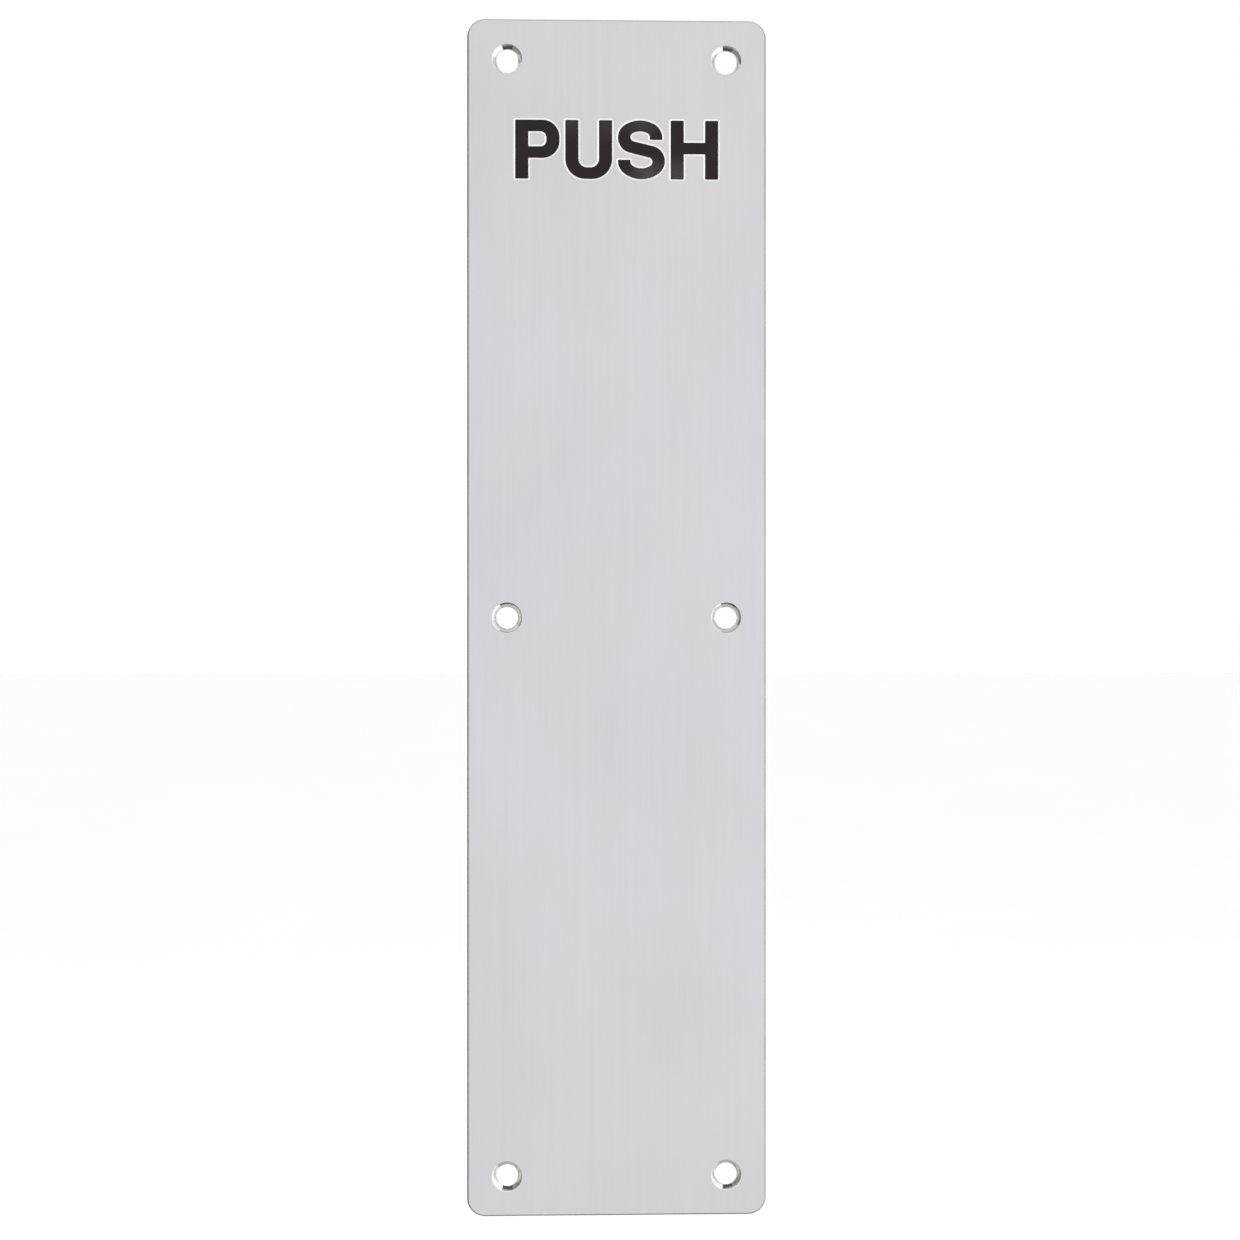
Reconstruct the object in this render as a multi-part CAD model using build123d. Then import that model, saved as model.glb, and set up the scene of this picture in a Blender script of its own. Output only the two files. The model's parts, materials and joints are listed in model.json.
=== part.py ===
from build123d import *
import os
from math import asin, atan, atan2, degrees, hypot, radians, sqrt, tan

# Push plate (finger plate) for a door: one strip of stainless sheet with six countersunk screw holes
# and the word PUSH sunk into its front and filled with black enamel. All sizes are in millimetres.
#
# Frame: +Z up along the plate, +X to the right as a person at the door reads it, and the front face
# looks along -Y. The origin is the centre of the back face, which lies on the door.
# Every shape is drawn lying flat (x right, y up the plate, z out of its front) and stood up at the end.

# Sheet
PLATE_WIDTH = 75.0
PLATE_HEIGHT = 300.0
PLATE_THICKNESS = 1.5
CORNER_RADIUS = 4.5
FRONT_EDGE_BEVEL = 0.4
BACK_EDGE_RADIUS = 0.15

# Screw holes: two columns and three rows, for No. 8 or 4 mm countersunk screws
HOLE_DIAMETER = 5.4
COUNTERSINK_DIAMETER = 7.6
COUNTERSINK_ANGLE = 90.0
HOLE_TO_EDGE = 10.0

# Lettering: plain block capitals made of straight bars and round bends
CAP_HEIGHT = 14.7
STEM_WIDTH = 3.25
BAR_HEIGHT = 2.85
P_WIDTH = 11.05
U_WIDTH = 11.7
S_WIDTH = 11.75
H_WIDTH = 11.9
LETTER_GAP = 1.5
P_BOWL_HEIGHT = 9.5
P_BEND_RADIUS = 4.25
P_COUNTER_RADIUS = 1.5
U_BEND_RADIUS = 5.0
U_COUNTER_RADIUS = 2.2
S_UPPER_WIDTH = 11.1
S_SIDE_STROKE = 3.1
S_CROWN_STROKE = 2.7
S_OUTER_BEND = 3.85
S_OUTER_CROWN = 7.2
S_INNER_BEND = 1.15
S_INNER_CROWN = 4.15
S_END_RISE = 2.55
H_BAR_RISE = 0.4
CORNER_EASE = 0.2
STRAIGHT_ON_ANGLE = 170.0
TEXT_CENTRE_BELOW_TOP = 32.6

# Sunk letters: a straight pocket that the enamel fills, with a sloping flank of bare metal above it
FLANK_WIDTH = 0.4
FLANK_DEPTH = 0.16
ENAMEL_THICKNESS = 0.3

# Worked out from the sizes above
COUNTERSINK_DEPTH = (COUNTERSINK_DIAMETER - HOLE_DIAMETER) / 2 / tan(radians(COUNTERSINK_ANGLE / 2))
COLUMN_OFFSET = PLATE_WIDTH / 2 - HOLE_TO_EDGE
ROW_OFFSET = PLATE_HEIGHT / 2 - HOLE_TO_EDGE
TEXT_CENTRE = PLATE_HEIGHT / 2 - TEXT_CENTRE_BELOW_TOP
ENAMEL_TOP = PLATE_THICKNESS - FLANK_DEPTH
POCKET_FLOOR = ENAMEL_TOP - ENAMEL_THICKNESS
FLANK_LEAN = degrees(atan(FLANK_WIDTH / FLANK_DEPTH))


def bar(left, bottom, width, height):
    """A straight block, placed by its lower left corner."""
    return Pos(left, bottom) * Rectangle(width, height, align=(Align.MIN, Align.MIN))


def bowl(left, bottom, width, height, radius):
    """A block whose two right corners are rounded."""
    block = bar(left, bottom, width, height)
    return fillet(block.vertices().sort_by(Axis.X)[2:], radius)


def trough(left, bottom, width, height, radius):
    """A block whose two lower corners are rounded."""
    block = bar(left, bottom, width, height)
    return fillet(block.vertices().sort_by(Axis.Y)[:2], radius)


def letter_p():
    bowl_bottom = CAP_HEIGHT - P_BOWL_HEIGHT
    counter_width = P_WIDTH - 2 * STEM_WIDTH
    counter_height = P_BOWL_HEIGHT - 2 * BAR_HEIGHT
    outside = bowl(0, bowl_bottom, P_WIDTH, P_BOWL_HEIGHT, P_BEND_RADIUS)
    outside += bar(0, 0, STEM_WIDTH, CAP_HEIGHT)
    counter_bottom = bowl_bottom + BAR_HEIGHT
    return outside - bowl(STEM_WIDTH, counter_bottom, counter_width, counter_height, P_COUNTER_RADIUS)


def letter_u():
    counter_width = U_WIDTH - 2 * STEM_WIDTH
    counter_height = CAP_HEIGHT - BAR_HEIGHT
    outside = trough(0, 0, U_WIDTH, CAP_HEIGHT, U_BEND_RADIUS)
    return outside - trough(STEM_WIDTH, BAR_HEIGHT, counter_width, counter_height, U_COUNTER_RADIUS)


def s_rail(width, rise, bend, crown):
    """One edge of half an S: two tight bends joined by a flat crown that rises this far above the middle.

    Gives how far out and how far up the bends' centres lie, and how far up the crown's centre lies."""
    bend_x = width / 2 - bend
    crown_y = rise - crown
    bend_y = crown_y + sqrt((crown - bend) ** 2 - bend_x**2)
    return bend_x, bend_y, crown_y


def s_hook(rail, radii, spine_slope):
    """The line along a rail, from the end of the stroke, over the crown and round to the spine."""
    bend_x, bend_y, crown_y = rail
    bend, crown = radii
    crown_start = degrees(atan2(bend_y - crown_y, bend_x))
    return [
        Line((bend_x + bend, S_END_RISE), (bend_x + bend, bend_y)),
        CenterArc((bend_x, bend_y), bend, 0, crown_start),
        CenterArc((0, crown_y), crown, crown_start, 180 - 2 * crown_start),
        CenterArc((-bend_x, bend_y), bend, 180 - crown_start, crown_start + 90 + spine_slope),
    ]


def s_edge(upper_rail, upper_radii, lower_rail, lower_radii):
    """A whole edge of the S, and its two ends: an upper hook, a lower one, and the line that touches both."""
    across = (S_WIDTH - S_UPPER_WIDTH) / 2 + upper_rail[0] + lower_rail[0]
    down = upper_rail[1] + lower_rail[1]
    touching = degrees(asin((upper_radii[0] + lower_radii[0]) / hypot(across, down)))
    spine_slope = touching - degrees(atan2(down, across))
    upper_place = Pos(S_UPPER_WIDTH / 2, CAP_HEIGHT / 2)
    lower_place = Pos(S_WIDTH / 2, CAP_HEIGHT / 2) * Rot(0, 0, 180)
    upper = [upper_place * line for line in s_hook(upper_rail, upper_radii, spine_slope)]
    lower = [lower_place * line for line in s_hook(lower_rail, lower_radii, spine_slope)]
    spine = Line(upper[-1] @ 1, lower[-1] @ 1)
    return [*upper, spine, *lower], (upper[0] @ 0, lower[0] @ 0)


def letter_s():
    """A stroke that thins over its crowns. Its left edge and its right edge swap rails at the spine."""
    outer, inner = (S_OUTER_BEND, S_OUTER_CROWN), (S_INNER_BEND, S_INNER_CROWN)
    outer_rise = CAP_HEIGHT / 2
    inner_rise = outer_rise - S_CROWN_STROKE
    upper_outer = s_rail(S_UPPER_WIDTH, outer_rise, *outer)
    lower_outer = s_rail(S_WIDTH, outer_rise, *outer)
    upper_inner = s_rail(S_UPPER_WIDTH - 2 * S_SIDE_STROKE, inner_rise, *inner)
    lower_inner = s_rail(S_WIDTH - 2 * S_SIDE_STROKE, inner_rise, *inner)
    left, left_ends = s_edge(upper_outer, outer, lower_inner, inner)
    right, right_ends = s_edge(upper_inner, inner, lower_outer, outer)
    ends = [Line(left_end, right_end) for left_end, right_end in zip(left_ends, right_ends)]
    return make_face([*left, *right, *ends])


def letter_h():
    crossbar_bottom = (CAP_HEIGHT - BAR_HEIGHT) / 2 + H_BAR_RISE
    left_stem = bar(0, 0, STEM_WIDTH, CAP_HEIGHT)
    right_stem = bar(H_WIDTH - STEM_WIDTH, 0, STEM_WIDTH, CAP_HEIGHT)
    return left_stem + right_stem + bar(0, crossbar_bottom, H_WIDTH, BAR_HEIGHT)


def heading(edge, corner):
    """The direction in which an edge leaves one of its own two corners."""
    starts_here = (edge @ 0 - corner.center()).length < (edge @ 1 - corner.center()).length
    return edge % 0 if starts_here else -(edge % 1)


def eased(outline):
    """The outline with its outward corners rounded, as a cutter leaves a pocket. Inward ones stay sharp."""
    outward = []
    for corner in outline.vertices():
        first, second = [heading(edge, corner) for edge in outline.edges() if corner in edge.vertices()]
        beside = corner.center() + (first + second) * CORNER_EASE
        if first.get_angle(second) < STRAIGHT_ON_ANGLE and outline.face().is_inside(beside):
            outward.append(corner)
    return fillet(outward, CORNER_EASE)


def placed_letters():
    """The four letter outlines by name, set side by side and centred on the plate."""
    drawn = {
        "p": (letter_p(), P_WIDTH),
        "u": (letter_u(), U_WIDTH),
        "s": (letter_s(), S_WIDTH),
        "h": (letter_h(), H_WIDTH),
    }
    word_width = sum(width for _, width in drawn.values()) + LETTER_GAP * (len(drawn) - 1)
    left = -word_width / 2
    baseline = TEXT_CENTRE - CAP_HEIGHT / 2
    placed = {}
    for name, (outline, width) in drawn.items():
        placed[name] = Pos(left, baseline) * eased(outline)
        left += width + LETTER_GAP
    return placed


def plate_blank():
    """The sheet, cut to size, with its corners rounded, a fine bevel in front and eased edges behind."""
    outline = RectangleRounded(PLATE_WIDTH, PLATE_HEIGHT, CORNER_RADIUS)
    blank = extrude(outline, PLATE_THICKNESS)
    blank = chamfer(blank.faces().sort_by(Axis.Z)[-1].edges(), FRONT_EDGE_BEVEL)
    return fillet(blank.faces().sort_by(Axis.Z)[0].edges(), BACK_EDGE_RADIUS)


def screw_hole():
    """The metal that one countersunk hole takes out of the sheet."""
    on_floor = (Align.CENTER, Align.CENTER, Align.MIN)
    drilled = Cylinder(HOLE_DIAMETER / 2, PLATE_THICKNESS, align=on_floor)
    cone = Cone(HOLE_DIAMETER / 2, COUNTERSINK_DIAMETER / 2, COUNTERSINK_DEPTH, align=on_floor)
    return drilled + Pos(0, 0, PLATE_THICKNESS - COUNTERSINK_DEPTH) * cone


def sunk_letter(outline):
    """The metal that one letter takes out: its pocket, and the flank that opens out to the front."""
    face = outline.face()
    flank = extrude(make_face(face.outer_wire()), FLANK_DEPTH, taper=-FLANK_LEAN)
    for island in face.inner_wires():
        flank -= extrude(make_face(island), FLANK_DEPTH, taper=FLANK_LEAN)
    return enamel(outline) + Pos(0, 0, ENAMEL_TOP) * flank


def plate(letters):
    body = plate_blank()
    for column in (-1, 1):
        for row in (-1, 0, 1):
            body -= Pos(column * COLUMN_OFFSET, row * ROW_OFFSET) * screw_hole()
    for outline in letters.values():
        body -= sunk_letter(outline)
    return body


def enamel(outline):
    """The enamel that fills one letter's pocket, up to the foot of the flank."""
    return Pos(0, 0, POCKET_FLOOR) * extrude(outline, ENAMEL_THICKNESS)


def write(node, solid):
    solid.label = node
    export_step(Plane.XZ * solid, f"parts/{node}.step")


os.makedirs("parts", exist_ok=True)
letters = placed_letters()
write("plate", plate(letters))
for name, outline in letters.items():
    write(f"letter_{name}_fill", enamel(outline))
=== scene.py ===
import json
from math import asin, atan2, ceil, cos, degrees, hypot, pi, radians, sin, sqrt

import bmesh
import bpy
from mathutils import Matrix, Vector

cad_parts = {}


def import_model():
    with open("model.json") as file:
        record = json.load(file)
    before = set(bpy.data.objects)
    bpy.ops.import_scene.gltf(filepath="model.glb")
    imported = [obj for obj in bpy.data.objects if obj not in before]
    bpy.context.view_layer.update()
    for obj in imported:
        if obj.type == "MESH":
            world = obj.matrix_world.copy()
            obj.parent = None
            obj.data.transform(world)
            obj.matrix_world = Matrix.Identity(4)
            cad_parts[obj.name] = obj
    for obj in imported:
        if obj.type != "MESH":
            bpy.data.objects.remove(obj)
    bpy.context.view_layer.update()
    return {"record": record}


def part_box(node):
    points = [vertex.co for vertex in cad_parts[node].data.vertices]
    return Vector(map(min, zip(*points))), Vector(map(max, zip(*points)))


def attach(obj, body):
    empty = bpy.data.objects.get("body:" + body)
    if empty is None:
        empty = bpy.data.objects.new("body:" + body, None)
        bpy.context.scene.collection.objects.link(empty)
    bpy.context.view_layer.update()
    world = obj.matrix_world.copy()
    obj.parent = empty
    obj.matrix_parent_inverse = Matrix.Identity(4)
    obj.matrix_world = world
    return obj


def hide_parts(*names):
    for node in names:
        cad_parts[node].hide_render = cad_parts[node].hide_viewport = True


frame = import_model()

# The looks of a satin stainless push plate with four sunk, enamelled letters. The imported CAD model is
# the frame: every place and main size below is read from it, in metres. +Z runs up the plate, +X to
# the right as it is read, and the front face looks along -Y.

MM = 0.001

# Read from the frame
PLATE_LOW, PLATE_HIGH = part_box("plate")
SCREWS = {mount["name"]: mount for mount in frame["record"]["mounts"]}["corner_screws"]["dims"]
COLUMN_OFFSET = SCREWS["spacing_x_mm"] * MM / 2
ROW_OFFSET = SCREWS["spacing_y_mm"] * MM / 2
HOLE_RADIUS = SCREWS["hole_r_mm"] * MM
FRONT_Y = PLATE_LOW.y
THICKNESS = PLATE_HIGH.y - PLATE_LOW.y
ENAMEL_LOW, ENAMEL_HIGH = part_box("letter_h_fill")
FLANK_DEPTH = ENAMEL_LOW.y - FRONT_Y
POCKET_DEPTH = ENAMEL_HIGH.y - FRONT_Y

# The design's own details, the same as in the CAD model
CORNER_RADIUS = 4.5 * MM
FRONT_BEVEL = 0.4 * MM
BACK_EASE = 0.15 * MM
COUNTERSINK_RADIUS = 3.8 * MM
SINK_WIDTH = COUNTERSINK_RADIUS - HOLE_RADIUS
STEM_WIDTH = 3.25 * MM
BAR_HEIGHT = 2.85 * MM
P_BOWL_HEIGHT = 9.5 * MM
P_BEND_RADIUS = 4.25 * MM
P_COUNTER_RADIUS = 1.5 * MM
U_BEND_RADIUS = 5.0 * MM
U_COUNTER_RADIUS = 2.2 * MM
S_UPPER_WIDTH = 11.1 * MM
S_SIDE_STROKE = 3.1 * MM
S_CROWN_STROKE = 2.7 * MM
S_OUTER_BEND = 3.85 * MM
S_OUTER_CROWN = 7.2 * MM
S_INNER_BEND = 1.15 * MM
S_INNER_CROWN = 4.15 * MM
S_END_RISE = 2.55 * MM
H_BAR_RISE = 0.4 * MM
CORNER_EASE = 0.2 * MM
FLANK_WIDTH = 0.4 * MM

# Fine shape that only the looks need (angles in degrees)
EDGE_SOFTNESS = 0.07 * MM
RIM_LEAD = 0.12 * MM
SINK_BULGE = 0.025 * MM
BORE_BREAK = 0.08 * MM
ARC_STEP = 5.0
SHARP_ANGLE = 50.0
SOFT_STEPS = 3
SAME_PLACE = 0.00001 * MM

# Painted sheen: soft lighter patches on the enamel: letter, share of its width and height, radius, and how
# strong from 0 to 1
PAINTED_SHEEN_PATCHES = (
    ("u", 0.12, 0.95, 5.0 * MM, 0.34),
    ("u", 0.86, 0.95, 5.0 * MM, 0.34),
    ("s", 0.52, 0.96, 5.0 * MM, 0.62),
    ("s", 0.62, 0.08, 5.5 * MM, 1.0),
    ("h", 0.12, 0.06, 5.5 * MM, 0.8),
)

# The light tent. The front grows brighter to the right and dimmer to the top; the ring and the back run from
# one brightness to another between two heights (up is 1 overhead, 0 level and -1 underneath).
FRONT_BRIGHTNESS = 0.998
FRONT_RISE_TO_RIGHT = 0.20
FRONT_FALL_TO_TOP = 0.06
RING_LOW_TO_HIGH = (0.72, 1.22, -0.65, -0.12)
BACK_LOW_TO_HIGH = (0.62, 1.25, -0.65, 0.30)

# Where one part of the tent gives way to the next, from -1 behind the plate to 1 straight out of its front
BACK_TO_CARDS = (-0.30, -0.18)
CARDS_TO_REPEATED = (0.12, 0.20)
CARDS_TO_RING = (0.42, 0.46)
RING_TO_FRONT = (0.72, 0.86)

# The cards: where each starts, as a share of the way round from straight below, and its brightness
CARDS = ((0.0, 0.07), (0.10, 0.30), (0.285, 0.05), (0.345, 0.80), (0.66, 0.85), (0.72, 1.35), (0.925, 0.07))

# Surfaces of the plate, in the order of its material slots
FACE, EDGE, SINK, FLANK, POCKET, BACK = range(6)


# ---------------------------------------------------------------- outlines, flat, as (x, z) points


def arc(centre, radius, start, sweep):
    """Points along an arc, in degrees. A positive sweep turns anticlockwise."""
    steps = max(2, ceil(abs(sweep) / ARC_STEP))
    angles = [radians(start + sweep * i / steps) for i in range(steps + 1)]
    return [Vector((centre[0] + radius * cos(a), centre[1] + radius * sin(a))) for a in angles]


def without_repeats(points):
    """The closed outline with each point that lies on the one before it left out."""
    return [point for i, point in enumerate(points) if (point - points[i - 1]).length > SAME_PLACE]


def square_cut(corners):
    """A closed outline whose corners are all right angles, each given as (x, z, radius)."""
    points = []
    for i, (x, z, radius) in enumerate(corners):
        here = Vector((x, z))
        if radius == 0:
            points.append(here)
            continue
        arriving = (here - Vector(corners[i - 1][:2])).normalized()
        leaving = (Vector(corners[(i + 1) % len(corners)][:2]) - here).normalized()
        centre = here + (leaving - arriving) * radius
        turn = 90 if arriving.cross(leaving) > 0 else -90
        points += arc(centre, radius, degrees(atan2(-leaving.y, -leaving.x)), turn)
    return without_repeats(points)


def plate_outline():
    left, bottom = PLATE_LOW.x, PLATE_LOW.z
    right, top = PLATE_HIGH.x, PLATE_HIGH.z
    around = [(left, bottom), (right, bottom), (right, top), (left, top)]
    return square_cut([(x, z, CORNER_RADIUS) for x, z in around])


def letter_p(width, height):
    foot = height - P_BOWL_HEIGHT
    right, low, high = width - STEM_WIDTH, foot + BAR_HEIGHT, height - BAR_HEIGHT
    outside = [
        (0, 0, CORNER_EASE),
        (STEM_WIDTH, 0, CORNER_EASE),
        (STEM_WIDTH, foot, 0),
        (width, foot, P_BEND_RADIUS),
        (width, height, P_BEND_RADIUS),
        (0, height, CORNER_EASE),
    ]
    counter = [
        (STEM_WIDTH, low, 0),
        (STEM_WIDTH, high, 0),
        (right, high, P_COUNTER_RADIUS),
        (right, low, P_COUNTER_RADIUS),
    ]
    return [square_cut(outside), square_cut(counter)]


def letter_u(width, height):
    right = width - STEM_WIDTH
    outside = [
        (0, 0, U_BEND_RADIUS),
        (width, 0, U_BEND_RADIUS),
        (width, height, CORNER_EASE),
        (right, height, CORNER_EASE),
        (right, BAR_HEIGHT, U_COUNTER_RADIUS),
        (STEM_WIDTH, BAR_HEIGHT, U_COUNTER_RADIUS),
        (STEM_WIDTH, height, CORNER_EASE),
        (0, height, CORNER_EASE),
    ]
    return [square_cut(outside)]


def s_rail(width, rise, bend, crown):
    """One edge of half an S: two tight bends joined by a flat crown that rises this far above the middle.

    Gives how far out and how far up the bends' centres lie, and how far up the crown's centre lies."""
    bend_x = width / 2 - bend
    crown_z = rise - crown
    bend_z = crown_z + sqrt((crown - bend) ** 2 - bend_x**2)
    return bend_x, bend_z, crown_z


def s_hook(rail, radii, spine_slope, side):
    """Points along a rail, from the end of the stroke, over the crown, to the spine. The outer side is 1."""
    bend_x, bend_z, crown_z = rail
    bend, crown = radii
    crown_start = degrees(atan2(bend_z - crown_z, bend_x))
    ease_centre = (bend_x + bend - side * CORNER_EASE, S_END_RISE + CORNER_EASE)
    ease = arc(ease_centre, CORNER_EASE, 270, side * 90)
    first_bend = arc((bend_x, bend_z), bend, 0, crown_start)
    top = arc((0, crown_z), crown, crown_start, 180 - 2 * crown_start)
    second_bend = arc((-bend_x, bend_z), bend, 180 - crown_start, crown_start + 90 + spine_slope)
    return ease + first_bend + top + second_bend


def s_edge(size, upper_rail, upper_radii, lower_rail, lower_radii, side):
    """A whole edge of the S: an upper hook, a lower one, and the straight line that touches both."""
    width, height = size
    across = (width - S_UPPER_WIDTH) / 2 + upper_rail[0] + lower_rail[0]
    down = upper_rail[1] + lower_rail[1]
    touching = degrees(asin((upper_radii[0] + lower_radii[0]) / hypot(across, down)))
    spine_slope = touching - degrees(atan2(down, across))
    upper_middle = Vector((S_UPPER_WIDTH / 2, height / 2))
    lower_middle = Vector((width / 2, height / 2))
    upper = [upper_middle + point for point in s_hook(upper_rail, upper_radii, spine_slope, side)]
    lower = [lower_middle - point for point in s_hook(lower_rail, lower_radii, spine_slope, -side)]
    return upper + lower[::-1]


def letter_s(width, height):
    """A stroke that thins over its crowns. Its left edge and its right edge swap rails at the spine."""
    outer, inner = (S_OUTER_BEND, S_OUTER_CROWN), (S_INNER_BEND, S_INNER_CROWN)
    inner_rise = height / 2 - S_CROWN_STROKE
    upper_outer = s_rail(S_UPPER_WIDTH, height / 2, *outer)
    lower_outer = s_rail(width, height / 2, *outer)
    upper_inner = s_rail(S_UPPER_WIDTH - 2 * S_SIDE_STROKE, inner_rise, *inner)
    lower_inner = s_rail(width - 2 * S_SIDE_STROKE, inner_rise, *inner)
    left = s_edge((width, height), upper_outer, outer, lower_inner, inner, 1)
    right = s_edge((width, height), upper_inner, inner, lower_outer, outer, -1)
    return [without_repeats(left + right[::-1])]


def letter_h(width, height):
    right = width - STEM_WIDTH
    low = (height - BAR_HEIGHT) / 2 + H_BAR_RISE
    high = low + BAR_HEIGHT
    lower = [(0, 0, CORNER_EASE), (STEM_WIDTH, 0, CORNER_EASE), (STEM_WIDTH, low, 0)]
    lower += [(right, low, 0), (right, 0, CORNER_EASE), (width, 0, CORNER_EASE)]
    upper = [(width, height, CORNER_EASE), (right, height, CORNER_EASE), (right, high, 0)]
    upper += [(STEM_WIDTH, high, 0), (STEM_WIDTH, height, CORNER_EASE), (0, height, CORNER_EASE)]
    return [square_cut(lower + upper)]


def placed(draw, node):
    """A letter's outlines, drawn to the size of its CAD node and moved to where that node is."""
    low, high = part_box(node)
    corner = Vector((low.x, low.z))
    return [[corner + point for point in outline] for outline in draw(high.x - low.x, high.z - low.z)]


def grown(outline, distance):
    """The outline moved sideways, away from what it encloses, with its corners kept true."""
    moved = []
    for i, here in enumerate(outline):
        arriving = (here - outline[i - 1]).normalized()
        leaving = (outline[(i + 1) % len(outline)] - here).normalized()
        outward = Vector((arriving.y + leaving.y, -arriving.x - leaving.x))
        moved.append(here + outward * distance / (1 + arriving.dot(leaving)))
    return moved


# ---------------------------------------------------------------- meshes swept along the outlines


def softened(profile, softness=EDGE_SOFTNESS):
    """A profile of (grown, depth, surface) steps with its corners rounded to a fine radius."""
    smooth = [profile[0]]
    for before, here, after in zip(profile, profile[1:], profile[2:]):
        point = Vector(here[:2])
        back, ahead = Vector(before[:2]) - point, Vector(after[:2]) - point
        start = point + back.normalized() * min(softness, back.length / 2)
        end = point + ahead.normalized() * min(softness, ahead.length / 2)
        for step in range(SOFT_STEPS + 1):
            t = step / SOFT_STEPS
            at = start * (1 - t) ** 2 + point * 2 * t * (1 - t) + end * t**2
            if (at - Vector(smooth[-1][:2])).length > SAME_PLACE:
                smooth.append((at.x, at.y, here[2] if t < 0.5 else after[2]))
    return smooth + [profile[-1]]


def bowed(start, end, bulge, surface, steps=6):
    """Profile steps after the first, along a shallow curve that stands proud of the straight line."""
    first, last = Vector(start), Vector(end)
    aside = Vector((first.y - last.y, last.x - first.x)).normalized() * 2 * bulge
    middle = (first + last) / 2 + aside
    curve = []
    for step in range(1, steps + 1):
        t = step / steps
        at = first * (1 - t) ** 2 + middle * 2 * t * (1 - t) + last * t**2
        curve.append((at.x, at.y, surface))
    return curve


def sweep(shape, outline, profile):
    """Runs a profile round an outline. Returns the edges of the first and of the last ring."""
    rings = []
    for sideways, depth, _ in profile:
        rings.append([shape.verts.new((p.x, FRONT_Y + depth, p.y)) for p in grown(outline, sideways)])
    for ring, next_ring, (_, _, surface) in zip(rings, rings[1:], profile[1:]):
        for i in range(len(ring)):
            face = shape.faces.new((ring[i - 1], ring[i], next_ring[i], next_ring[i - 1]))
            face.material_index = surface
            face.smooth = True
    first, last = rings[0], rings[-1]
    return [[shape.edges.get((ring[i - 1], ring[i])) for i in range(len(ring))] for ring in (first, last)]


def cap(shape, rims, surface):
    """Closes the flat region between closed rims of edges."""
    edges = [edge for rim in rims for edge in rim]
    made = bmesh.ops.triangle_fill(shape, use_beauty=True, edges=edges, normal=(0, -1, 0))
    for face in made["geom"]:
        if isinstance(face, bmesh.types.BMFace):
            face.material_index = surface
            face.smooth = False


def finished(shape, name, materials, node):
    """Turns a closed shape into a piece that stands for a CAD node."""
    bmesh.ops.recalc_face_normals(shape, faces=shape.faces)
    mesh = bpy.data.meshes.new(name)
    shape.to_mesh(mesh)
    shape.free()
    mesh.set_sharp_from_angle(angle=radians(SHARP_ANGLE))
    for material in materials:
        mesh.materials.append(material)
    piece = bpy.data.objects.new(name, mesh)
    bpy.context.scene.collection.objects.link(piece)
    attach(piece, "root")
    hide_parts(node)
    return piece


def plate_mesh(letters):
    """The whole sheet as one closed skin."""
    shape = bmesh.new()
    edge_profile = softened([
        (-FRONT_BEVEL - RIM_LEAD, 0, FACE),
        (-FRONT_BEVEL, 0, FACE),
        (0, FRONT_BEVEL, EDGE),
        (0, THICKNESS - BACK_EASE, EDGE),
        (-BACK_EASE, THICKNESS, EDGE),
        (-BACK_EASE - RIM_LEAD, THICKNESS, BACK),
    ])
    sink_profile = softened([
        (SINK_WIDTH + RIM_LEAD, 0, FACE),
        (SINK_WIDTH, 0, FACE),
        *bowed((SINK_WIDTH, 0), (0, SINK_WIDTH), SINK_BULGE, SINK),
        (0, THICKNESS - BORE_BREAK, SINK),
        (BORE_BREAK, THICKNESS, SINK),
        (BORE_BREAK + RIM_LEAD, THICKNESS, BACK),
    ])
    letter_profile = softened([
        (FLANK_WIDTH + RIM_LEAD, 0, FACE),
        (FLANK_WIDTH, 0, FACE),
        (0, FLANK_DEPTH, FLANK),
    ]) + [(0, POCKET_DEPTH, POCKET)]
    front, back = sweep(shape, plate_outline(), edge_profile)
    front_rims, back_rims, islands = [front], [back], []
    for column in (-COLUMN_OFFSET, COLUMN_OFFSET):
        for row in (-ROW_OFFSET, 0, ROW_OFFSET):
            circle = without_repeats(arc((column, row), HOLE_RADIUS, 0, 360))
            front, back = sweep(shape, circle, sink_profile)
            front_rims.append(front)
            back_rims.append(back)
    for outside, *counters in letters.values():
        front, floor = sweep(shape, outside, letter_profile)
        front_rims.append(front)
        floor_rims = [floor]
        for counter in counters:
            island, floor = sweep(shape, counter, letter_profile)
            islands.append(island)
            floor_rims.append(floor)
        cap(shape, floor_rims, POCKET)
    cap(shape, front_rims, FACE)
    for island in islands:
        cap(shape, [island], FACE)
    cap(shape, back_rims, BACK)
    return shape


def enamel_mesh(outlines):
    """One letter's enamel. Its surface dips a little in the middle and climbs the flank where it wets it.

    The dip is given as distances in from the pocket's wall, each with its share of the full dip."""
    climb, overlap, dip = 0.05 * MM, 0.004 * MM, 0.02 * MM
    dip_shape = ((0.16 * MM, 1.0), (0.10 * MM, 0.8), (0.04 * MM, 0.3))
    wetted = climb * FLANK_WIDTH / FLANK_DEPTH
    profile = [
        *((-inward, FLANK_DEPTH + share * dip, 0) for inward, share in dip_shape),
        (0.4 * wetted, FLANK_DEPTH - 0.35 * climb, 0),
        (wetted + overlap, FLANK_DEPTH - climb + overlap, 0),
        (-overlap, FLANK_DEPTH + 2 * overlap, 0),
        (-overlap, POCKET_DEPTH - overlap, 0),
    ]
    shape = bmesh.new()
    rims = [sweep(shape, outline, profile) for outline in outlines]
    cap(shape, [top for top, _ in rims], 0)
    cap(shape, [bottom for _, bottom in rims], 0)
    return shape


# ---------------------------------------------------------------- materials


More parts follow.
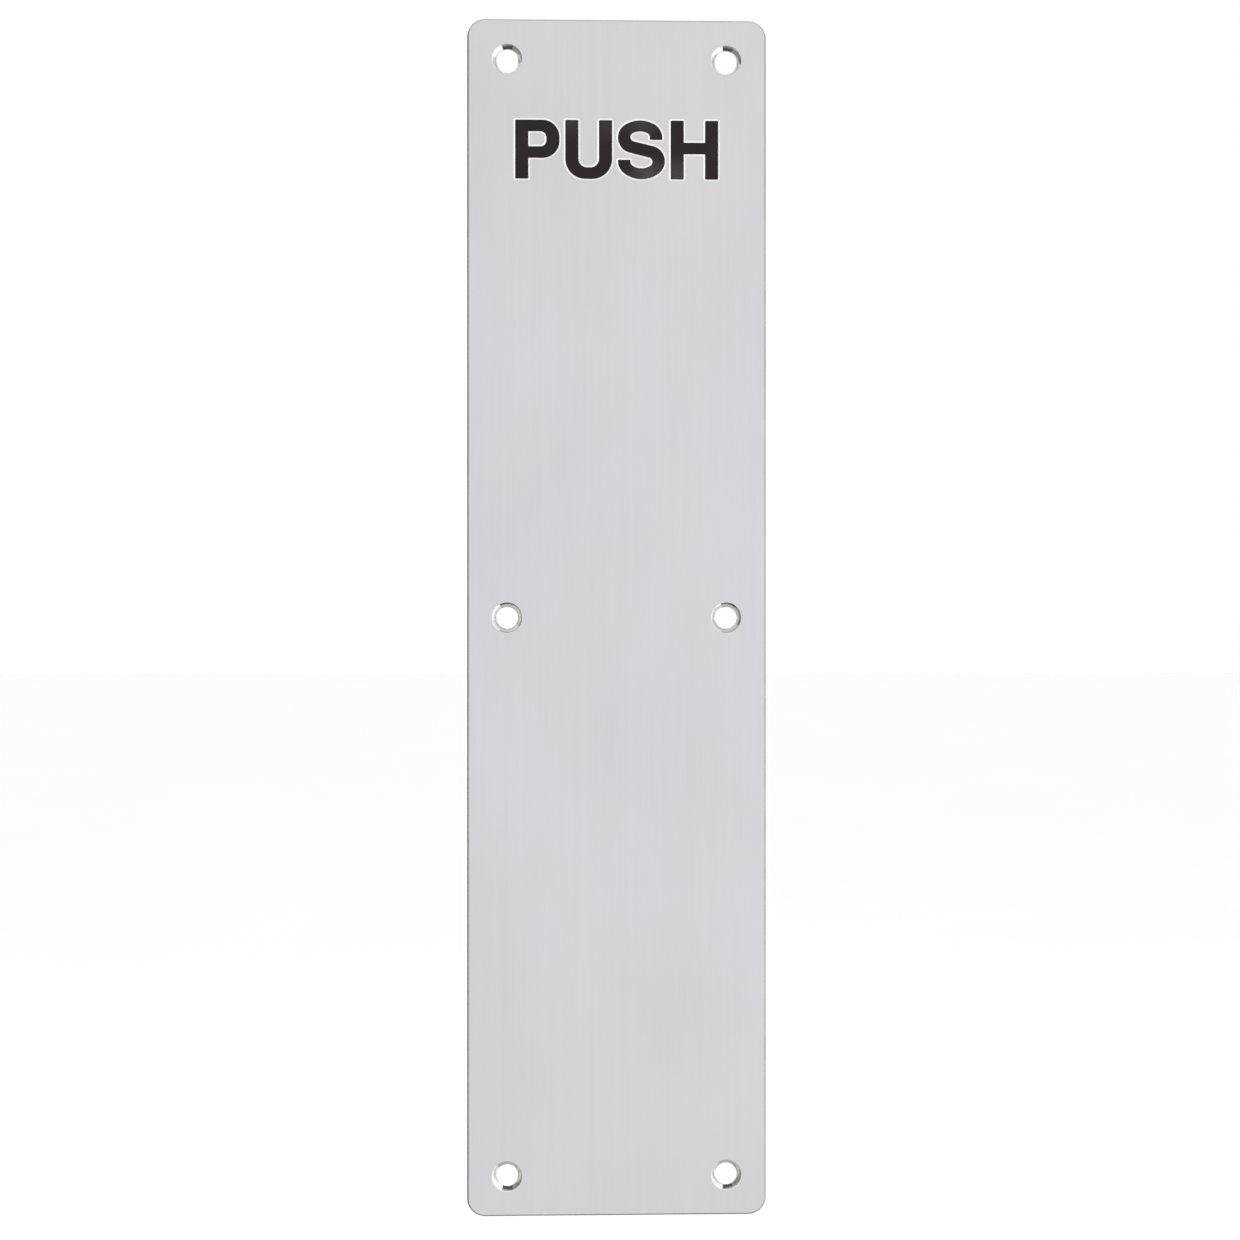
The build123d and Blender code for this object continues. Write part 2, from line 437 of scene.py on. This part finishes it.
class Shade:
    """The nodes of a material, or of the world, under construction."""

    def __init__(self, name, owner=None):
        self.material = owner or bpy.data.materials.new(name)
        self.material.use_nodes = True
        self.tree = self.material.node_tree
        self.shader = self.tree.nodes.get("Principled BSDF")

    def add(self, kind, links=(), values=(), **settings):
        """A node with its settings, its plain values, and what is linked into its inputs."""
        node = self.tree.nodes.new(kind)
        for key, value in settings.items():
            setattr(node, key, value)
        for key, value in dict(values).items():
            node.inputs[key].default_value = value
        for key, source in dict(links).items():
            self.tree.links.new(source, node.inputs[key])
        return node

    def set(self, **values):
        """Plain values on the shader, the same all over the surface."""
        for key, value in values.items():
            self.shader.inputs[key.replace("_", " ")].default_value = value

    def drive(self, name, source):
        self.tree.links.new(source, self.shader.inputs[name])

    def place(self):
        """Where a point is on the plate, in metres."""
        return self.add("ShaderNodeTexCoord").outputs["Object"]

    def noise(self, size, detail=3.0, roughness=0.5, seed=0.0):
        """Noise whose features are about size (x, y, z) metres."""
        scale = tuple(1 / extent for extent in size)
        stretched = self.add(
            "ShaderNodeMapping", {"Vector": self.place()}, {"Scale": scale, "Location": (seed, seed, seed)}
        )
        return self.add(
            "ShaderNodeTexNoise",
            {"Vector": stretched.outputs["Vector"]},
            {"Scale": 1.0, "Detail": detail, "Roughness": roughness},
        ).outputs["Fac"]

    def spread(self, source, low, high, start=0.3, end=0.7):
        """A value that runs from low to high as its source runs from start to end."""
        return self.add(
            "ShaderNodeMapRange",
            {"Value": source},
            {"From Min": start, "From Max": end, "To Min": low, "To Max": high},
        ).outputs["Result"]

    def math(self, operation, first, second=0.0, third=0.0):
        """A maths node; each operand is a number or another node's output."""
        node = self.add("ShaderNodeMath", operation=operation)
        for slot, operand in enumerate((first, second, third)):
            if isinstance(operand, (int, float)):
                node.inputs[slot].default_value = operand
            else:
                self.tree.links.new(operand, node.inputs[slot])
        return node.outputs["Value"]

    def mix(self, share, first, second):
        """A colour between two colours; each is (r, g, b) or another node's output."""
        node = self.add("ShaderNodeMix", {"Factor": share}, data_type="RGBA")
        for slot, colour in ((6, first), (7, second)):
            if isinstance(colour, tuple):
                node.inputs[slot].default_value = (*colour, 1.0)
            else:
                self.tree.links.new(colour, node.inputs[slot])
        return node.outputs[2]

    def scaled(self, colour, factor):
        """A colour made lighter or darker."""
        node = self.add("ShaderNodeVectorMath", {0: colour, "Scale": factor}, operation="SCALE")
        return node.outputs["Vector"]

    def bump(self, height, distance, strength=1.0):
        return self.add(
            "ShaderNodeBump", {"Height": height}, {"Distance": distance, "Strength": strength}
        ).outputs["Normal"]


def satin_face():
    """Stainless sheet with a fine upright brushed grain, faint clouds and a few pinpoint pits.

    Its tone is a little cooler towards the middle of the plate."""
    shade = Shade("satin_brushed_face")
    shade.set(Metallic=1.0, Anisotropic=0.5)
    fine = shade.noise((0.14 * MM, 5 * MM, 11 * MM), detail=4.0)
    coarse = shade.noise((1.1 * MM, 9 * MM, 60 * MM), detail=2.0, seed=3.7)
    clouds = shade.noise((30 * MM, 40 * MM, 52 * MM), detail=4.0, seed=8.1)
    tint = shade.noise((24 * MM, 40 * MM, 34 * MM), detail=2.0, seed=1.9)
    warm, cool = (0.666, 0.650, 0.656), (0.674, 0.668, 0.698)
    height = shade.add("ShaderNodeSeparateXYZ", {"Vector": shade.place()}).outputs["Z"]
    coolness = shade.spread(shade.math("ABSOLUTE", height), 0.85, 0.30, 50 * MM, 120 * MM)
    coolness = shade.math("ADD", coolness, shade.spread(tint, -0.25, 0.25, 0.38, 0.62))
    tone = shade.mix(coolness, warm, cool)
    clouding = shade.spread(clouds, 0.972, 1.010, 0.32, 0.62)
    dimming = shade.math("MULTIPLY", clouding, shade.spread(coarse, 0.988, 1.006))
    dimming = shade.math("MULTIPLY", dimming, shade.spread(fine, 0.978, 1.012))
    dimming = shade.math("MULTIPLY", dimming, shade.spread(pits(shade), 1.0, 0.35, 0.0, 1.0))
    shade.drive("Base Color", shade.scaled(tone, dimming))
    rough = shade.math("ADD", shade.spread(fine, 0.31, 0.39), shade.spread(clouds, -0.015, 0.02))
    shade.drive("Roughness", rough)
    grain = shade.math("MULTIPLY_ADD", coarse, 0.6, fine)
    shade.drive("Normal", shade.bump(grain, 0.004 * MM, 0.6))
    return shade.material


def pits(shade):
    """1 at a few scattered points a fraction of a millimetre wide, and 0 elsewhere."""
    cells = shade.add(
        "ShaderNodeTexVoronoi", {"Vector": shade.place()}, {"Scale": 1 / (22 * MM), "Randomness": 1.0}
    )
    near = shade.spread(cells.outputs["Distance"], 1.0, 0.0, 0.006, 0.014)
    picked = shade.add("ShaderNodeSeparateColor", {"Color": cells.outputs["Color"]}).outputs["Red"]
    return shade.math("MULTIPLY", near, shade.math("GREATER_THAN", picked, 0.6))


def linished_edge_painted_shade():
    """The bevel and the cut side of the sheet: the same steel, worked with a coarser belt. Its darker colour
    is partly painted shade along the plate's edge.
    """
    shade = Shade("linished_edge_painted_shade")
    shade.set(Metallic=1.0)
    scuffs = shade.noise((0.5 * MM, 0.12 * MM, 0.5 * MM), detail=4.0)
    wear = shade.noise((6 * MM, 6 * MM, 9 * MM), detail=3.0, seed=5.3)
    # Darker than the face: partly the coarser finish, and partly painted shade for the dark line round the
    # plate.
    colour = shade.mix(shade.spread(wear, 0.0, 1.0), (0.32, 0.31, 0.31), (0.42, 0.41, 0.415))
    shade.drive("Base Color", colour)
    shade.drive("Roughness", shade.spread(scuffs, 0.22, 0.36))
    shade.drive("Normal", shade.bump(scuffs, 0.01 * MM, 0.5))
    return shade.material


def turned_sink():
    """The countersinks and bores: bright, with the fine rings that the cutter leaves."""
    shade = Shade("turned_countersink")
    shade.set(Metallic=1.0)
    at = shade.add("ShaderNodeSeparateXYZ", {"Vector": shade.place()})
    across = shade.math("SUBTRACT", shade.math("ABSOLUTE", at.outputs["X"]), COLUMN_OFFSET)
    row = shade.math("ROUND", shade.math("DIVIDE", at.outputs["Z"], ROW_OFFSET))
    up = shade.math("MULTIPLY_ADD", row, -ROW_OFFSET, at.outputs["Z"])
    from_centre = shade.math(
        "SQRT", shade.math("ADD", shade.math("MULTIPLY", across, across), shade.math("MULTIPLY", up, up))
    )
    ring_pitch = 0.09 * MM
    rings = shade.math("SINE", shade.math("MULTIPLY", from_centre, 2 * pi / ring_pitch))
    smears = shade.noise((0.8 * MM, 0.8 * MM, 0.8 * MM), detail=3.0, seed=2.2)
    colour = shade.mix(shade.spread(smears, 0.0, 1.0), (0.70, 0.68, 0.67), (0.84, 0.83, 0.83))
    shade.drive("Base Color", colour)
    shade.drive("Roughness", shade.spread(smears, 0.07, 0.14))
    shade.drive("Normal", shade.bump(rings, 0.002 * MM, 0.4))
    return shade.material


def cut_flank():
    """The sloping flank round each letter: bare metal, left bright and finely matt by the cutter."""
    shade = Shade("bright_cut_flank")
    shade.set(Metallic=1.0)
    ripple = shade.noise((0.5 * MM, 0.3 * MM, 0.5 * MM), detail=2.0, seed=6.6)
    colour = shade.mix(shade.spread(ripple, 0.0, 1.0), (0.94, 0.935, 0.94), (0.99, 0.99, 0.99))
    shade.drive("Base Color", colour)
    shade.drive("Roughness", shade.spread(ripple, 0.44, 0.56))
    shade.drive("Normal", shade.bump(ripple, 0.006 * MM, 0.4))
    return shade.material


def pocket_metal():
    """The pocket's hidden walls and floor, dull from etching."""
    shade = Shade("etched_pocket")
    shade.set(Metallic=1.0)
    tooth = shade.noise((0.2 * MM, 0.2 * MM, 0.2 * MM))
    shade.drive("Base Color", shade.mix(tooth, (0.30, 0.29, 0.29), (0.38, 0.37, 0.37)))
    shade.drive("Roughness", shade.spread(tooth, 0.5, 0.7))
    return shade.material


def mill_back():
    """The back, as it comes from the mill: duller, with a soft rolled grain and light handling scuffs."""
    shade = Shade("mill_finish_back")
    shade.set(Metallic=1.0, Anisotropic=0.25)
    rolled = shade.noise((0.7 * MM, 5 * MM, 22 * MM), detail=4.0, seed=4.4)
    clouds = shade.noise((30 * MM, 30 * MM, 45 * MM), detail=4.0, seed=9.4)
    scuffs = shade.noise((9 * MM, 9 * MM, 1.1 * MM), detail=5.0, roughness=0.65, seed=7.2)
    marked = shade.spread(scuffs, 0.0, 1.0, 0.60, 0.74)
    tone = shade.mix(shade.spread(clouds, 0.0, 1.0), (0.50, 0.495, 0.50), (0.60, 0.595, 0.60))
    shade.drive("Base Color", shade.mix(marked, tone, (0.66, 0.655, 0.66)))
    rough = shade.math("ADD", shade.spread(clouds, 0.38, 0.50), shade.spread(rolled, -0.03, 0.03))
    shade.drive("Roughness", rough)
    shade.drive("Normal", shade.bump(shade.math("ADD", rolled, scuffs), 0.006 * MM, 0.6))
    return shade.material


def black_enamel():
    """Stoved black enamel: a warm black, greyer in soft patches of painted sheen, with a slight orange peel.
    """
    shade = Shade("stoved_black_enamel")
    shade.set(Specular_IOR_Level=0.22)
    peel = shade.noise((0.8 * MM, 0.8 * MM, 0.8 * MM), detail=2.0)
    # The lighter of these two colours is painted sheen, laid on where the enamel would catch the light.
    colour = shade.mix(painted_enamel_sheen(shade), (0.0105, 0.0055, 0.0070), (0.056, 0.049, 0.053))
    shade.drive("Base Color", colour)
    shade.drive("Roughness", shade.spread(peel, 0.24, 0.30))
    shade.drive("Normal", shade.bump(peel, 0.004 * MM, 0.5))
    return shade.material


def painted_enamel_sheen(shade):
    """How strong the painted sheen on the enamel is, from 0 to 1: a little all over, and more in a few soft
    patches.
    """
    sheen_patchiness = shade.noise((8 * MM, 8 * MM, 11 * MM), detail=1.0, seed=11.3)
    sheen = shade.spread(sheen_patchiness, 0.0, 0.06, 0.48, 0.72)
    for letter, across, up, radius, sheen_strength in PAINTED_SHEEN_PATCHES:
        low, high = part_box(f"letter_{letter}_fill")
        centre = (low.x + across * (high.x - low.x), low.y, low.z + up * (high.z - low.z))
        away = shade.add("ShaderNodeVectorMath", {0: shade.place()}, {1: centre}, operation="DISTANCE")
        sheen = shade.math("ADD", sheen, shade.spread(away.outputs["Value"], sheen_strength, 0.0, 0.0, radius))
    return sheen


# ---------------------------------------------------------------- the object


def build_object():
    drawings = {"p": letter_p, "u": letter_u, "s": letter_s, "h": letter_h}
    letters = {name: placed(draw, f"letter_{name}_fill") for name, draw in drawings.items()}
    surfaces = [satin_face(), linished_edge_painted_shade(), turned_sink(), cut_flank(), pocket_metal(), mill_back()]
    plate = finished(plate_mesh(letters), "push_plate_sheet", surfaces, "plate")
    enamel = black_enamel()
    for name, outlines in letters.items():
        fill = finished(enamel_mesh(outlines), f"enamel_letter_{name}", [enamel], f"letter_{name}_fill")


# ---------------------------------------------------------------- studio


def floor():
    """A plain pale floor well below the plate, which hangs above it as on a door. It glows a little, so that
    it fades into the white behind it, and the metal reflects the light tent instead."""
    drop, reach, glow = 0.45, 12.0, 0.15
    mesh = bpy.data.meshes.new("studio_floor")
    corners = [(-reach, -reach, -drop), (reach, -reach, -drop), (reach, reach, -drop), (-reach, reach, -drop)]
    mesh.from_pydata(corners, [], [(0, 1, 2, 3)])
    shade = Shade("pale_floor")
    mottle = shade.noise((0.3, 0.3, 0.3), detail=2.0)
    shade.drive("Base Color", shade.mix(mottle, (0.84, 0.84, 0.84), (0.87, 0.87, 0.87)))
    shade.set(Roughness=1.0, Specular_IOR_Level=0.0)
    shade.set(Emission_Color=(1.0, 1.0, 1.0, 1.0), Emission_Strength=glow)
    mesh.materials.append(shade.material)
    plane = bpy.data.objects.new("studio_floor", mesh)
    bpy.context.scene.collection.objects.link(plane)
    plane.visible_glossy = False
    plane.visible_shadow = False


def area_light(name, place, aim, size, power):
    """A square softbox. Neither the camera nor a reflection in the metal shows it."""
    lamp = bpy.data.lights.new(name, "AREA")
    lamp.shape = "SQUARE"
    lamp.size = size
    lamp.energy = power
    light = bpy.data.objects.new(name, lamp)
    bpy.context.scene.collection.objects.link(light)
    light.location = place
    light.rotation_euler = (Vector(aim) - Vector(place)).to_track_quat("-Z", "Y").to_euler()
    light.visible_camera = False
    light.visible_glossy = False


def cards(shade, right, height):
    """The cards' brightness, going round clockwise from below as the plate sees them."""
    turn = shade.math("ARCTAN2", right, height)
    share = shade.math("MULTIPLY_ADD", turn, 0.5 / pi, 0.5)
    tones = shade.add("ShaderNodeValToRGB", {"Fac": share})
    ramp = tones.color_ramp
    ramp.interpolation = "CONSTANT"
    ramp.elements.remove(ramp.elements[1])
    for position, _ in CARDS[1:]:
        ramp.elements.new(position)
    for element, (_, brightness) in zip(ramp.elements, CARDS):
        element.color = (brightness, brightness, brightness, 1.0)
    return tones.outputs["Color"]


def blend(shade, share, first, second):
    """A number between two numbers."""
    return shade.math("MULTIPLY_ADD", share, shade.math("SUBTRACT", second, first), first)


def world():
    """A white light tent with cards round the edge of it. The camera sees plain white.

    Everything is set by direction from the plate. The face mostly sees the tent's smooth front, and the
    ring round it lights the flanks of the letters. The cards stand further out, for the edges and the
    countersinks. Next to the ring, the cards below are repeated above. The back of the tent shades from
    light above to grey below."""
    made = bpy.data.worlds.new("light_tent")
    bpy.context.scene.world = made
    shade = Shade("light_tent", made)
    outward = shade.add("ShaderNodeTexCoord").outputs["Generated"]
    direction = shade.add("ShaderNodeSeparateXYZ", {"Vector": outward})
    right, up = direction.outputs["X"], direction.outputs["Z"]
    forward = shade.math("MULTIPLY", direction.outputs["Y"], -1.0)
    sideways_tone = shade.math("MULTIPLY_ADD", right, FRONT_RISE_TO_RIGHT, FRONT_BRIGHTNESS)
    even_tone = shade.math("MULTIPLY_ADD", up, -FRONT_FALL_TO_TOP, sideways_tone)
    ring_tone = shade.spread(up, *RING_LOW_TO_HIGH)
    front = blend(shade, shade.spread(forward, 1.0, 0.0, *RING_TO_FRONT), even_tone, ring_tone)
    repeated = cards(shade, right, shade.math("MULTIPLY", shade.math("ABSOLUTE", up), -1.0))
    plain = cards(shade, right, up)
    round_edge = blend(shade, shade.spread(forward, 1.0, 0.0, *CARDS_TO_REPEATED), repeated, plain)
    in_front = blend(shade, shade.spread(forward, 0.0, 1.0, *CARDS_TO_RING), round_edge, front)
    behind = shade.spread(up, *BACK_LOW_TO_HIGH)
    all_round = blend(shade, shade.spread(forward, 0.0, 1.0, *BACK_TO_CARDS), behind, in_front)
    camera_ray = shade.add("ShaderNodeLightPath").outputs["Is Camera Ray"]
    background = shade.tree.nodes["Background"]
    background.inputs["Color"].default_value = (1.0, 1.0, 1.0, 1.0)
    shade.tree.links.new(blend(shade, camera_ray, all_round, 1.0), background.inputs["Strength"])


def camera():
    """Square on to the plate, a touch to its left, with the plate filling the frame's height."""
    distance, turn = 0.37, radians(1.2)
    frame_height, aim_right, aim_down = 0.311, 0.8 * MM, 0.6 * MM
    data = bpy.data.cameras.new("camera")
    data.sensor_width = 36.0
    data.lens = data.sensor_width / 2 / (frame_height / 2 / distance)
    data.clip_start = 0.01
    eye = bpy.data.objects.new("camera", data)
    bpy.context.scene.collection.objects.link(eye)
    away = Vector((-sin(turn), -cos(turn), 0))
    middle = Vector((aim_right, FRONT_Y, -aim_down))
    eye.location = middle + away * distance
    eye.rotation_euler = (-away).to_track_quat("-Z", "Y").to_euler()
    bpy.context.scene.camera = eye


def studio():
    floor()
    world()
    area_light("key_softbox", place=(0.45, -0.25, 1.25), aim=(0, 0, 0), size=0.8, power=3.5)
    camera()
    bpy.context.scene.view_settings.view_transform = "Standard"


build_object()
studio()
